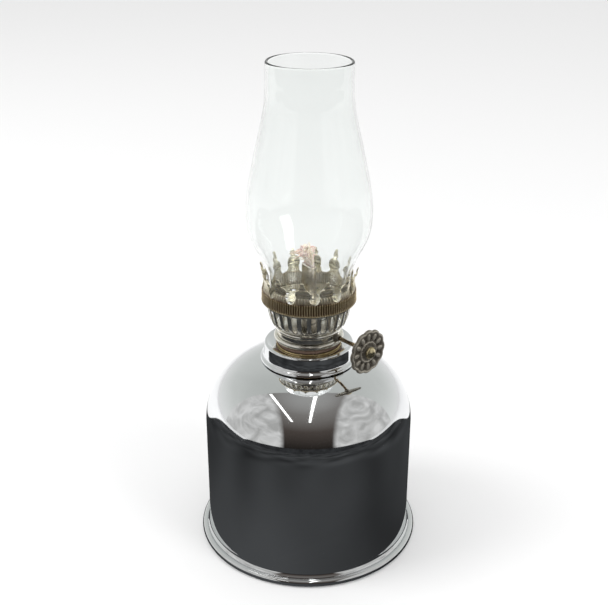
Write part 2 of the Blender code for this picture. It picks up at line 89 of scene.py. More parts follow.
FOOT_RADIUS = high("base_pan").x
FOOT_BEAD = 0.00165
REST_INNER_RADIUS = 0.046
PAN_THICKNESS = 0.001
PAN_FLOOR_Z = 0.0013
PAN_RING_RADII = (0.034, 0.018)
TANK_RADIUS = 0.0482
TANK_SHEET = 0.0006
SHOULDER_Z = 0.060
SHOULDER_RUN = 0.0322
NECK_HOLE_RADIUS = 0.0152

COLLAR_WALL_RADIUS = 0.0203
COLLAR_FOOT_RADIUS = 0.0222
COLLAR_SHEET = 0.0007
COLLAR_EDGE = 0.0010
BUSH_RADIUS = 0.0149
BUSH_BORE = 0.0130
BUSH_FLANGE_RADIUS = 0.0179
BUSH_FLANGE_THICKNESS = 0.0010

BASE_BORE = 0.0112
BASE_FLANGE_HEIGHT = 0.0025
WAIST_GROOVE_RADIUS = 0.0142
WAIST_BORE = 0.0130
WAIST_BEAD = 0.0011
BASKET_FOOT_RADIUS = 0.0146
BASKET_SLOT_RADIUS = 0.0182
SLOT_COUNT = 26
SLOT_WIDTH = 0.0024

BAND_RADIUS = 0.0209
BAND_HEIGHT = 0.0056
BAND_TOP_Z = low("gallery_crown").z + BAND_HEIGHT
BAND_LIP_RADIUS = 0.0192
PRONG_COUNT = 12
PRONG_TURN = radians(10)
PRONG_HEIGHT = high("gallery_crown").z - BAND_TOP_Z
SHEET = 0.0005
RIBS_PER_PRONG = 10

TUBE_TOP_Z = high("wick_tube").z
WICK_WIDTH = 0.0062
WICK_CORDS = 7
CORD_PIECES, WEFT_PIECES, STRAND_PIECES = 120, 28, 12
TUFT_STRANDS = 260
SHAFT_RADIUS = half_height("raiser_shaft")
SHAFT_BORE = SHAFT_RADIUS + 0.0002

KNOB_RADIUS = high("knob_disc").y - SHAFT_Y
KNOB_LOBES = 12
KNOB_LOBE_DEPTH = 0.0006
KNOB_BORE_SHARE = 0.10
KNOB_STEPS, KNOB_ROWS = 432, 64  # facets round the knob's disc and from its bore to its edge
CHIMNEY_GLASS = 0.0012


# ---- Camera: across the knob, looking down on the lamp ----
CAMERA_AZIMUTH = radians(48)
CAMERA_DISTANCE = 0.4165
CAMERA_HEIGHT = 0.3050
CAMERA_PITCH = radians(24.18)
CAMERA_ROLL = radians(0.2)
CAMERA_LENS = 60.04


def from_camera(azimuth, distance, z):
    """A point at an azimuth, in radians, counted from the camera's own."""
    turn = CAMERA_AZIMUTH + azimuth
    return Vector((distance * sin(turn), -distance * cos(turn), z))


def placed(name, data):
    """A new object in the scene."""
    obj = bpy.data.objects.new(name, data)
    bpy.context.scene.collection.objects.link(obj)
    return obj


def make_camera():
    data = bpy.data.cameras.new("camera")
    data.lens = CAMERA_LENS
    data.sensor_width = 36.0
    data.clip_start = 0.01
    data.shift_x = -0.0081
    camera = placed("camera", data)
    camera.location = from_camera(0.0, CAMERA_DISTANCE, CAMERA_HEIGHT)
    turn = Matrix.Rotation(CAMERA_AZIMUTH, 4, "Z")
    tilt = Matrix.Rotation(pi / 2 - CAMERA_PITCH, 4, "X")
    roll = Matrix.Rotation(CAMERA_ROLL, 4, "Z")
    camera.rotation_euler = (turn @ tilt @ roll).to_euler()
    bpy.context.scene.camera = camera


# ---- Node trees ----
class Tree:
    """A node tree being built, with short ways to add to it. A value is a number, a tuple or a
    socket to link from."""

    def __init__(self, owner, place):
        owner.use_nodes = True
        self.nodes = owner.node_tree.nodes
        self.links = owner.node_tree.links
        self.place = self.add("TexCoord", {}, place)

    def add(self, kind, values, output=0, **settings):
        """Add a node with its settings and its inputs' values, and return one output."""
        node = self.nodes.new("ShaderNode" + kind)
        for name, setting in settings.items():
            setattr(node, name, setting)
        for key, value in values.items():
            self.put(node.inputs[key], value)
        return node.outputs[output]

    def put(self, socket, value):
        if isinstance(value, bpy.types.NodeSocket):
            self.links.new(value, socket)
        elif socket.type == "RGBA":
            socket.default_value = (*value, 1.0)
        else:
            socket.default_value = value

    def stretched(self, scale):
        return self.add("Mapping", {"Vector": self.place, "Scale": scale})

    def noise(self, scale, detail, roughness, where=None, distortion=0.0):
        """Noise from 0 to 1 whose features are about 1/scale metres apart."""
        values = {"Vector": where or self.place, "Scale": scale, "Detail": detail}
        values.update({"Roughness": roughness, "Distortion": distortion})
        return self.add("TexNoise", values)

    def ramp(self, value, *stops):
        """A colour ramp through (position, colour) stops."""
        ramp = self.add("ValToRGB", {"Fac": value})
        elements = ramp.node.color_ramp.elements
        while len(elements) < len(stops):
            elements.new(0.5)
        for element, (position, colour) in zip(elements, stops):
            element.position = position
            element.color = (*colour, 1.0)
        return ramp

    def spread(self, value, to_low, to_high, from_low=0.0, from_high=1.0):
        values = {"Value": value, "From Min": from_low, "From Max": from_high}
        values.update({"To Min": to_low, "To Max": to_high})
        return self.add("MapRange", values)

    def maths(self, kind, *values, clamp=False):
        return self.add("Math", dict(enumerate(values)), operation=kind, use_clamp=clamp)

    def mixed(self, share, first, second):
        """A colour between two colours."""
        return self.add("Mix", {"Factor": share, 6: first, 7: second}, 2, data_type="RGBA")

    def along(self, vector, axis):
        return self.add("SeparateXYZ", {"Vector": vector}, axis)


class Shader(Tree):
    """A material being built: its tree and its Principled node."""

    def __init__(self, name, colour, roughness, metallic):
        self.material = bpy.data.materials.new(name)
        super().__init__(self.material, "Object")
        self.main = self.nodes["Principled BSDF"].inputs
        self.finish({"Base Color": colour, "Roughness": roughness, "Metallic": metallic})

    def finish(self, values):
        for name, value in values.items():
            self.put(self.main[name], value)

    def attribute(self, name):
        return self.add("Attribute", {}, "Fac", attribute_name=name)

    def colour(self, *value):
        """Set the base colour to one value, or to a mix: share, first and second colour."""
        self.put(self.main["Base Color"], value[0] if len(value) == 1 else self.mixed(*value))

    def roughness(self, *value):
        """Set the roughness to one value, or to a spread of one."""
        self.put(self.main["Roughness"], value[0] if len(value) == 1 else self.spread(*value))

    def bump(self, *layers):
        """Stack bumps, each a (height socket, depth in metres) pair, onto the surface normal."""
        for height, depth in layers:
            values = {"Strength": 1.0, "Distance": depth, "Height": height}
            if self.main["Normal"].is_linked:
                values["Normal"] = self.main["Normal"].links[0].from_socket
            self.put(self.main["Normal"], self.add("Bump", values))


def darker(colour, *factors):
    return tuple(c * f for c, f in zip(colour, factors))


# ---- Materials ----
def chrome_plate(name):
    """Bright chrome on thin drawn sheet: faint waves, fine polishing lines, smudges and specks."""
    shader = Shader(name, (0.86, 0.87, 0.88), 0.05, 1.0)
    smudges = shader.noise(28, 5, 0.6, distortion=0.6)
    specks = shader.noise(900, 2, 0.5)
    shader.colour(shader.ramp(smudges, (0.30, (0.80, 0.81, 0.82)), (0.75, (0.88, 0.89, 0.90))))
    film = shader.spread(smudges, 0.02, 0.075, 0.35, 0.75)
    grain = shader.spread(specks, 0.0, 0.03, 0.62, 0.80)
    shader.roughness(shader.maths("ADD", film, grain))
    waves = shader.noise(34, 1.5, 0.4)
    lines = shader.noise(1.0, 3, 0.6, where=shader.stretched((140, 140, 2600)))
    shader.bump((waves, 0.00003), (lines, 0.000001))
    return shader.material


def nickel_plate(name, colour=(0.88, 0.86, 0.79), stain=0.35):
    """Thin nickel over brass: warm, cloudy, browned in patches and lightly scratched."""
    shader = Shader(name, colour, 0.16, 1.0)
    clouds = shader.noise(180, 5, 0.62, distortion=0.4)
    patches = shader.noise(420, 4, 0.65)
    share = shader.spread(shader.maths("MULTIPLY", clouds, patches), 0.0, stain, 0.22, 0.40)
    shader.colour(share, colour, darker(colour, 0.62, 0.52, 0.34))
    shader.roughness(clouds, 0.11, 0.28, 0.30, 0.75)
    scratches = shader.noise(1.0, 3, 0.6, where=shader.stretched((3800, 3800, 420)))
    shader.bump((clouds, 0.00002), (scratches, 0.000003))
    return shader.material


def aged_brass(name):
    """The crown: browned brass in the band's valleys and bare metal on its ribs, which also paints
    shade into the valleys and a highlight onto the rib crests and the lower bead; nickel above.
    """
    shader = Shader(name, (0.42, 0.32, 0.20), 0.3, 0.91)
    clouds = shader.noise(320, 5, 0.62, distortion=0.5)
    ridge = shader.attribute("ridge")
    # Rib crests and the lower bead pale, valleys dark brown: partly wear and browning, partly
    # painted highlight on the crests and painted shade in the valleys
    worn = shader.spread(shader.maths("ADD", ridge, clouds), 0.0, 1.0, 0.85, 1.30)
    band = shader.mixed(worn, (0.085, 0.045, 0.022), (0.80, 0.64, 0.38))
    stain = shader.spread(clouds, 0.0, 0.7, 0.35, 0.7)
    nickel = shader.mixed(stain, (0.80, 0.76, 0.62), (0.50, 0.41, 0.25))
    height = shader.along(shader.place, "Z")
    blur = shader.maths("ADD", height, shader.spread(clouds, -0.0012, 0.0012))
    above = shader.spread(blur, 0.0, 1.0, BAND_TOP_Z - 0.0002, BAND_TOP_Z + 0.0022)
    flat = {0: shader.stretched((1.0, 1.0, 0.0))}
    radius = shader.add("VectorMath", flat, "Value", operation="LENGTH")
    within = shader.spread(radius, 0.55, 0.0, BAND_RADIUS - 0.0004, BAND_RADIUS - 0.0001)
    above = shader.maths("MAXIMUM", above, within)
    shader.colour(above, band, nickel)
    shader.roughness(worn, 0.42, 0.20)
    shader.bump((clouds, 0.00003))
    return shader.material


def turned_brass(name):
    """Plain brass with turning lines and a dull, uneven skin."""
    colour = (0.70, 0.55, 0.30)
    shader = Shader(name, colour, 0.3, 1.0)
    clouds = shader.noise(260, 5, 0.6)
    dull = darker(colour, 0.60, 0.52, 0.42)
    shader.colour(shader.spread(clouds, 0.0, 0.8, 0.4, 0.7), colour, dull)
    shader.roughness(clouds, 0.20, 0.42, 0.3, 0.7)
    lines = shader.noise(1.0, 2, 0.5, where=shader.stretched((300, 300, 6000)))
    shader.bump((lines, 0.000006), (clouds, 0.00002))
    return shader.material


def rivet_brass(name):
    """The knob's rivet: brass hammered to a dome, bright where fingers polish it."""
    colour = (0.80, 0.70, 0.44)
    shader = Shader(name, colour, 0.2, 1.0)
    dents = shader.noise(1300, 2, 0.5)
    stains = shader.noise(900, 4, 0.6)
    share = shader.spread(stains, 0.0, 0.9, 0.45, 0.70)
    shader.colour(share, colour, (0.34, 0.27, 0.14))
    shader.roughness(stains, 0.12, 0.34, 0.3, 0.7)
    shader.bump((dents, 0.00016))
    return shader.material


def antique_pewter(name, with_relief):
    """Dark antique plate: black in the hollows, worn to grey-brown metal on what stands up."""
    dark, bare = (0.12, 0.105, 0.085), (0.66, 0.61, 0.52)
    shader = Shader(name, (0.24, 0.22, 0.18), 0.4, 0.86)
    clouds = shader.noise(700, 5, 0.65, distortion=0.3)
    fine = shader.noise(2600, 3, 0.6)
    worn = shader.spread(clouds, 0.25, 0.75, 0.32, 0.68)
    if with_relief:
        raised = shader.maths("ADD", shader.attribute("relief"), shader.spread(clouds, -0.22, 0.22))
        worn = shader.spread(raised, 0.0, 1.0, -0.05, 0.80)
    shader.colour(worn, dark, bare)
    shader.roughness(worn, 0.55, 0.34)
    shader.bump((clouds, 0.00005), (fine, 0.000015))
    return shader.material


def bronzed_steel(name):
    """The shaft: bronzed wire with drawn streaks along it, rubbed through to brass."""
    shader = Shader(name, (0.30, 0.22, 0.13), 0.35, 1.0)
    streaks = shader.noise(1.0, 4, 0.65, where=shader.stretched((260, 1500, 1500)), distortion=0.3)
    clouds = shader.noise(600, 4, 0.6)
    share = shader.spread(shader.maths("MULTIPLY", streaks, clouds), 0.0, 1.0, 0.18, 0.34)
    shader.colour(share, (0.085, 0.055, 0.034), (0.58, 0.45, 0.28))
    shader.roughness(streaks, 0.42, 0.22, 0.3, 0.7)
    shader.bump((streaks, 0.00008))
    return shader.material


def seal_fibre(name):
    """Pressed vulcanised fibre: matt, mottled and faintly layered."""
    shader = Shader(name, (0.16, 0.10, 0.07), 0.85, 0.0)
    mottle = shader.noise(1400, 4, 0.6)
    layers = shader.noise(1.0, 2, 0.5, where=shader.stretched((200, 200, 9000)))
    shader.colour(shader.ramp(mottle, (0.3, (0.10, 0.062, 0.045)), (0.7, (0.22, 0.15, 0.11))))
    shader.roughness(mottle, 0.75, 0.95)
    shader.bump((layers, 0.00005), (mottle, 0.00003))
    return shader.material


def cotton(name):
    """Soft cotton: cream with pink dye, each strand its own shade, fibres as fine bump."""
    pale, pink, straw = (0.92, 0.82, 0.74), (0.80, 0.52, 0.47), (0.86, 0.72, 0.55)
    shader = Shader(name, pale, 0.92, 0.0)
    fibres = shader.noise(1.0, 3, 0.7, where=shader.stretched((9000, 9000, 1500)))
    blotches = shader.noise(480, 3, 0.6)
    shade = shader.maths("ADD", shader.attribute("strand"), shader.spread(blotches, -0.3, 0.3))
    shader.colour(shader.ramp(shade, (0.1, pink), (0.55, pale), (0.95, straw)))
    shader.finish({"Sheen Weight": 0.4, "Sheen Roughness": 0.5})
    shader.finish({"Subsurface Weight": 0.15, "Subsurface Scale": 0.0006})
    shader.bump((fibres, 0.00008))
    return shader.material


def clear_glass(name):
    """Blown glass: clear with a faint grey-green body, slight ream and a thin, patchy film."""
    shader = Shader(name, (0.955, 0.97, 0.962), 0.0, 0.0)
    shader.finish({"Transmission Weight": 1.0, "IOR": 1.5})
    ream = shader.noise(1.0, 2, 0.5, where=shader.stretched((70, 70, 18)))
    film = shader.noise(120, 4, 0.6, distortion=0.8)
    shader.roughness(film, 0.0, 0.035, 0.55, 0.85)
    shader.bump((ream, 0.00012))
    return shader.material


# ---- Outlines: lists of (radius, height) ----
def arc(centre_r, centre_z, run, rise, start, end, count):
    """Points along part of an ellipse, from angle start to end in degrees."""
    angles = [radians(start + (end - start) * i / count) for i in range(count + 1)]
    return [(centre_r + run * cos(a), centre_z + rise * sin(a)) for a in angles]


def line(start, end, count):
    """Points from start towards end, without the end itself."""
    return [tuple(a + (b - a) * i / count for a, b in zip(start, end)) for i in range(count)]


def flowing(points, per_span):
    """A smooth curve through the given points, with per_span steps between neighbours."""
    ends = [points[0], *points, points[-1]]
    curve = []
    for i in range(len(points) - 1):
        before, here, there, after = (Vector(p) for p in ends[i : i + 4])
        for step in range(per_span):
            t = step / per_span
            bend = 2 * before - 5 * here + 4 * there - after
            twist = 3 * here - before - 3 * there + after
            curve.append(tuple(here + 0.5 * t * (there - before + t * (bend + t * twist))))
    return [*curve, tuple(points[-1])]


def unit_tangents(outline):
    """The direction along an outline at each of its points."""
    before = [outline[0], *outline[:-1]]
    after = [*outline[1:], outline[-1]]
    return [(Vector(b) - Vector(a)).normalized() for a, b in zip(before, after)]


def shell(outline, sheet, rounded):
    """A closed outline: the outer side given top to bottom, its inner side a sheet away, and
    as many points as rounded round each edge."""
    tangents = unit_tangents(outline)
    inner = [(r + sheet * t.y, z - sheet * t.x) for (r, z), t in zip(outline, tangents)]

    def edge(first, second, outwards):
        middle = (Vector(first) + Vector(second)) / 2
        half = (Vector(first) - Vector(second)) / 2
        turns = [pi * i / (rounded + 1) for i in range(1, rounded + 1)]
        return [tuple(middle + half * cos(t) + outwards * half.length * sin(t)) for t in turns]

    foot = edge(outline[-1], inner[-1], tangents[-1])
    head = edge(inner[0], outline[0], -tangents[0])
    return [*outline, *foot, *reversed(inner), *head]


# ---- Meshes ----
def finished(name, work, tidy_normals=True):
    """Turn a bmesh into a mesh."""
    if tidy_normals:
        bmesh.ops.recalc_face_normals(work, faces=work.faces)
    mesh = bpy.data.meshes.new(name)
    work.to_mesh(mesh)
    work.free()
    return mesh


def join(work, pairs):
    """Make the faces between pairs of rings with as many vertices."""
    for first, second in pairs:
        for k in range(len(first)):
            after = (k + 1) % len(first)
            work.faces.new((first[k], first[after], second[after], second[k]))


def turned(name, outline, steps=STEPS, relief=None, closed=True):
    """Turn (radius, z) points about Z. relief(radius, z, angle) moves a point outwards."""
    work = bmesh.new()
    rings = []
    for radius, z in outline:
        ring = []
        for k in range(steps if radius > 1e-6 else 1):
            angle = 2 * pi * k / steps
            r = radius + (relief(radius, z, angle) if relief else 0.0)
            ring.append(work.verts.new((r * cos(angle), r * sin(angle), z)))
        rings.append(ring)
    pairs = list(zip(rings, rings[1:]))
    if closed:
        pairs.append((rings[-1], rings[0]))
    for first, second in pairs:
        for k in range(steps):
            here, there = k % len(first), (k + 1) % len(first)
            below, across = k % len(second), (k + 1) % len(second)
            corners = dict.fromkeys((first[here], first[there], second[across], second[below]))
            if len(corners) > 2:
                work.faces.new(list(corners))
    return finished(name, work)


def along_shaft(name, outline, start_x, steps, relief=None, closed=True):
    """Turn an outline and lay it along the knob's shaft, with its Z = 0 at start_x."""
    mesh = turned(name, outline, steps, relief, closed)
    turn = Matrix.Rotation(pi / 2, 4, "Y")
    mesh.transform(Matrix.Translation((start_x, SHAFT_Y, SHAFT_Z)) @ turn)
    return mesh


def tube_along(work, path, radii, sides, layer, value):
    """Add a closed round tube to a bmesh, with a radius for each point of its path. Every
    vertex gets the value in the layer."""
    rings = []
    side = Vector((1.0, 0.0, 0.0))
    for i, point in enumerate(path):
        along = (path[min(i + 1, len(path) - 1)] - path[max(i - 1, 0)]).normalized()
        side = (side - along * side.dot(along)).normalized()
        up = along.cross(side)
        ring = []
        for k in range(sides):
            angle = 2 * pi * k / sides
            out = (side * cos(angle) + up * sin(angle)) * radii[i]
            vert = work.verts.new(point + out)
            vert[layer] = value
            ring.append(vert)
        rings.append(ring)
    join(work, zip(rings, rings[1:]))
    work.faces.new(list(reversed(rings[0])))
    work.faces.new(rings[-1])


def inside(point, loops):
    """True where a point is in the loops' area, by the even-odd rule."""
    u, v = point
    odd = False
    for loop in loops:
        for (a, b), (c, d) in zip(loop, loop[1:] + loop[:1]):
            if (b > v) != (d > v) and u < a + (v - b) * (c - a) / (d - b):
                odd = not odd
    return odd


def divided(loop, step):
    """A closed loop with its long edges split into steps."""
    points = []
    for start, end in zip(loop, loop[1:] + loop[:1]):
        length = hypot(end[0] - start[0], end[1] - start[1])
        points += line(start, end, max(1, ceil(length / step)))
    return points


def tiled(loops, step_u, step_v):
    """Fill an area bounded by closed loops with small triangles: its points and its faces."""
    rims = [divided(loop, max(step_u, step_v)) for loop in loops]
    rim_points = [point for rim in rims for point in rim]
    edges = []
    for rim in rims:
        first, count = len(edges), len(rim)
        edges += [(first + i, first + (i + 1) % count) for i in range(count)]
    us, vs = zip(*rims[0])
    width, height = max(us) - min(us), max(vs) - min(vs)
    columns, rows = round(width / step_u), round(height / step_v)
    clear = 0.45 * min(step_u, step_v)
    points = list(rim_points)
    for row in range(1, rows):
        v = min(vs) + height * row / rows
        beside = [p for p in rim_points if abs(p[1] - v) < clear]
        for column in range(1, columns):
            u = min(us) + width * column / columns
            if all(abs(p[0] - u) > clear for p in beside) and inside((u, v), loops):
                points.append((u, v))
    places, _, faces = delaunay_2d_cdt([Vector(p) for p in points], edges, [], 0, 1e-9)[:3]
    kept = []
    for face in faces:
        middle = sum((places[i] for i in face), Vector((0.0, 0.0))) / len(face)
        if inside(middle, rims):
            kept.append(face)
    return places, kept


class Wall:
    """A turned wall laid flat: v runs along its profile upwards, u round it at one radius."""

    def __init__(self, profile, radius):
        self.profile = [Vector(p) for p in profile]
        self.radius = radius
        self.lengths = [0.0]
        for start, end in zip(self.profile, self.profile[1:]):
            self.lengths.append(self.lengths[-1] + (end - start).length)
        self.tangents = unit_tangents(profile)

    def at(self, v):
        """Radius, height and outward direction in the profile's plane at v."""
        v = min(max(v, 0.0), self.lengths[-1])
        i = 0
        while self.lengths[i + 1] < v:
            i += 1
        share = (v - self.lengths[i]) / (self.lengths[i + 1] - self.lengths[i])
        point = self.profile[i].lerp(self.profile[i + 1], share)
        along = self.tangents[i].lerp(self.tangents[i + 1], share).normalized()
        return point, Vector((along.y, -along.x))

    def v_at_height(self, z):
        """The first v, from the bottom, where the wall rises through a height."""
        for i in range(len(self.profile) - 1):
            below, above = self.profile[i].y, self.profile[i + 1].y
            if below <= z <= above and above > below:
                share = (z - below) / (above - below)
                return self.lengths[i] + share * (self.lengths[i + 1] - self.lengths[i])
        return self.lengths[-1]


def pressed_sheet(name, wall, loops, steps, count, turn, relief):
    """Repeat one flat sector round a wall and give it the sheet's thickness.

    relief(u, v) returns how far a point stands out and the value of the attribute "ridge".
    """
    flat, faces = tiled(loops, *steps)
    work = bmesh.new()
    layer = work.verts.layers.float.new("ridge")
    for k in range(count):
        ring = []
        for u, v in flat:
            point, out = wall.at(v)
            lift, ridge = relief(u, v)
            point = point + out * lift
            angle = u / wall.radius + turn + 2 * pi * k / count
            vert = work.verts.new((point.x * cos(angle), point.x * sin(angle), point.y))
            vert[layer] = ridge
            ring.append(vert)
        for face in faces:
            work.faces.new([ring[i] for i in face])
    bmesh.ops.remove_doubles(work, verts=work.verts, dist=2e-6)
    bmesh.ops.recalc_face_normals(work, faces=work.faces)
    if sum(face.normal.xy.dot(face.calc_center_median().xy) for face in work.faces) < 0:
        bmesh.ops.reverse_faces(work, faces=work.faces)
    obj = placed(name, finished(name, work, tidy_normals=False))
    thick = obj.modifiers.new("sheet", "SOLIDIFY")
    thick.thickness = SHEET
    thick.offset = -1.0
    thick.use_even_offset = False
    return baked(obj)


def baked(obj):
    """Apply an object's modifiers to its mesh."""
    bpy.context.view_layer.update()
    graph = bpy.context.evaluated_depsgraph_get()
    mesh = bpy.data.meshes.new_from_object(obj.evaluated_get(graph))
    obj.modifiers.clear()
    obj.data = mesh
    return obj


def carve(obj, tool_mesh):
    """Cut a closed mesh out of an object."""
    tool = placed("tool", tool_mesh)
    modifier = obj.modifiers.new("cut", "BOOLEAN")
    modifier.operation = "DIFFERENCE"
    modifier.solver = "EXACT"
    modifier.object = tool
    baked(obj)
    bpy.data.objects.remove(tool, do_unlink=True)


# ---- Placing pieces ----
class Maker:
    """Adds finished pieces: each rides on a body, replaces its CAD node and has its material."""

    def __init__(self, materials):
        self.materials = materials

    def add(self, piece, node, body, slot, material, sharp=35):
        if isinstance(piece, bpy.types.Mesh):
            piece = placed(piece.name, piece)
        piece.data.materials.clear()
        piece.data.materials.append(self.materials[material])
        piece.data.shade_smooth()
        piece.data.set_sharp_from_angle(angle=radians(sharp))
        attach(piece, body)
        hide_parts(node)
        return piece


# ---- The tank ----
def make_tank(maker):
    """Drawn shell: domed shoulder, upright side and a flare that ends inside the foot's bead."""
    foot_z, top_z = heights("font_shell")
    rise = top_z - SHOULDER_Z
    shoulder = arc(TANK_RADIUS - SHOULDER_RUN, SHOULDER_Z, SHOULDER_RUN, rise, 90, 0, 44)
    flare = [(0.0, 0.0030), (0.0002, 0.0014), (0.0012, 0.0002)]
    flare = flowing([(TANK_RADIUS + out, foot_z + up) for out, up in flare], 6)
    side = line(shoulder[-1], flare[0], 14)
    outline = [(NECK_HOLE_RADIUS, top_z), *shoulder[:-1], *side, *flare]
    mesh = turned("tank", shell(outline, TANK_SHEET, 2))
    maker.add(mesh, "font_shell", "font", "chrome_plate", "chrome")


def make_foot(maker):
    """Base pan: the rolled bead that the lamp stands on, and a floor with two pressed rings."""
    bead = arc(FOOT_RADIUS - FOOT_BEAD, FOOT_BEAD, FOOT_BEAD, FOOT_BEAD, 180, -90, 30)
    top = PAN_FLOOR_Z + PAN_THICKNESS
    ridge = [(0.0016, 0.0), (0.0008, 0.0005), (-0.0008, 0.0005), (-0.0016, 0.0)]
    rings = [(radius + out, up) for radius in PAN_RING_RADII for out, up in ridge]
    upper = [(r, top + up) for r, up in reversed(rings)]
    lower = [(r, PAN_FLOOR_Z + up) for r, up in rings]
    rest = REST_INNER_RADIUS
    outline = [(0.0, top), *upper, (rest - 0.0014, top), (rest - 0.0002, PAN_THICKNESS + 0.0001)]
    outline += [*bead, (rest, 0.0), (rest - PAN_FLOOR_Z, PAN_FLOOR_Z), *lower, (0.0, PAN_FLOOR_Z)]
    mesh = turned("foot", outline, closed=False)
    maker.add(mesh, "base_pan", "font", "chrome_plate", "chrome")


def make_collar(maker):
    """Spun collar with a flared skirt, an upright wall and a dished top."""
    foot_z, top = heights("font_collar")
    wall, foot, sheet, edge = COLLAR_WALL_RADIUS, COLLAR_FOOT_RADIUS, COLLAR_SHEET, COLLAR_EDGE
    inner = BUSH_RADIUS + GAP
    kink_z = top - 0.0037
    flared = [(wall + 0.0006, foot_z + 0.0020), (foot - 0.0003, foot_z + 0.0010)]
    upright = [(wall, top - 0.0016), (wall + 0.0001, kink_z)]
    skirt = flowing([*upright, *flared, (foot, foot_z + 0.0004)], 8)
    dish = [(inner, top - 0.0012), (wall - 0.0030, top - 0.0009), (wall - 0.0013, top - 0.0001)]
    rounded = arc(wall - edge, top - edge, edge, edge, 105, 0, 12)
    outline = [*flowing(dish, 6)[:-1], *rounded, *skirt, (foot - 0.0001, foot_z)]
    outline += [(foot - sheet, foot_z), (wall - sheet, kink_z - 0.0004)]
    outline += [(wall - sheet, top - 0.0018), (wall - 0.0022, top - 0.0015)]
    outline.append((inner, top - 0.0018))
    maker.add(turned("collar", outline), "font_collar", "font", "chrome_plate", "chrome")


def thread(radius_here, low_z, high_z):
    """Relief of a rolled right-hand thread on the wall at one radius, run out at both ends."""

    def relief(radius, z, angle):
        if abs(radius - radius_here) > 1e-6:
            return 0.0
        wave = cos(2 * pi * (z / THREAD_PITCH - angle / (2 * pi)))
        fade = min(1.0, (z - low_z) / THREAD_RUN_OUT, (high_z - z) / THREAD_RUN_OUT)
        height = max(0.0, fade) * (wave if wave > 0 else 0.6 * wave)
        return THREAD_DEPTH * (height - 0.5)

    return relief


def make_bush(maker):
    """Neck bush with the internal thread, and its flange on the dome."""
    bottom, top = heights("thread_bush")
    flange_z = high("font_shell").z + GAP
    bore = BUSH_BORE + THREAD_DEPTH / 2
    outer, flange = BUSH_RADIUS, BUSH_FLANGE_RADIUS
    flange_top = flange_z + BUSH_FLANGE_THICKNESS
    outline = line((bore, bottom), (bore, top - 0.0003), THREAD_ROWS)
    outline += [(bore, top - 0.0003), (bore + 0.0004, top), (outer - 0.0002, top)]
    outline += [(outer, top - 0.0002), (outer, flange_top)]
    outline += [(flange - 0.0002, flange_top), (flange, flange_top - 0.0002)]
    outline += [(flange, flange_z), (outer, flange_z), (outer, bottom)]
    mesh = turned("threaded_bush", outline, relief=thread(bore, bottom, top))
    maker.add(mesh, "thread_bush", "font", "plain_brass", "brass")


def make_seal(maker):
    """Fibre washer with pressed, slightly bulging edges."""
    (bottom, top), outer = heights("seal_washer"), high("seal_washer").x
    middle, half = (bottom + top) / 2, (top - bottom) / 2
    outline = arc(outer - 0.0003, middle, 0.0003, half, 90, -90, 10)
    outline += arc(BUSH_BORE + 0.0003, middle, 0.0003, half, 270, 90, 10)

    def pressed(radius, z, angle):
        wave = 0.00005 * sin(5 * angle) * sin(3 * angle + 1.0)
        return wave if radius > BUSH_RADIUS - 0.0008 else 0.0

    mesh = turned("fibre_washer", outline, relief=pressed)
    maker.add(mesh, "seal_washer", "seal", "seal_fibre", "fibre")


# ---- The burner ----
def drill(piece):
    """Cut the hole for the shaft's sleeve out of a piece."""
    start_x, length = 0.010, 0.010
    radius = half_height("shaft_sleeve") + GAP
    outline = [(0.0, 0.0), (radius, 0.0), (radius, length), (0.0, length)]
    carve(piece, along_shaft("hole", outline, start_x, 48, closed=False))
    piece.data.set_sharp_from_angle(angle=radians(35))


def make_burner_base(maker):
    """Spigot with the rolled thread and the beaded flange over the washer."""
    (bottom, top), outer = heights("burner_base"), high("burner_base").x
    flange_z = top - BASE_FLANGE_HEIGHT
    spigot = BUSH_BORE - GAP
    half = (top - flange_z) / 2
    bead = arc(outer - half, (flange_z + top) / 2, half, half, 90, -90, 18)
    outline = [(BASE_BORE, top), *bead, (spigot, flange_z)]
    outline += line((spigot, flange_z - 0.0002), (spigot, bottom + 0.0002), THREAD_ROWS)
    outline += [(spigot - 0.0003, bottom), (BASE_BORE, bottom)]
    mesh = turned("burner_flange", outline, relief=thread(spigot, bottom, flange_z))
    drill(maker.add(mesh, "burner_base", "burner", "nickel_plate", "nickel"))


def make_waist(maker):
    """Groove and bead under the basket."""
    (bottom, top), outer = heights("burner_waist"), high("burner_waist").x
    bead, groove = WAIST_BEAD, WAIST_GROOVE_RADIUS
    outline = [(WAIST_BORE, top), *arc(outer - bead, top - bead, bead, bead, 90, -80, 16)]
    outline += [(groove, top - 2 * bead - 0.0001), (groove, bottom + 0.0002)]
    outline += [(groove + 0.0003, bottom), (WAIST_BORE, bottom)]
    mesh = turned("waist_ring", outline)
    drill(maker.add(mesh, "burner_waist", "burner", "nickel_plate", "nickel"))


def stadium(width, low_v, high_v, count):
    """A slot's outline with round ends, centred on u = 0."""
    half = width / 2
    top = arc(0.0, high_v - half, half, half, 0, 180, count)
    bottom = arc(0.0, low_v + half, half, half, 180, 360, count)
    return top + bottom


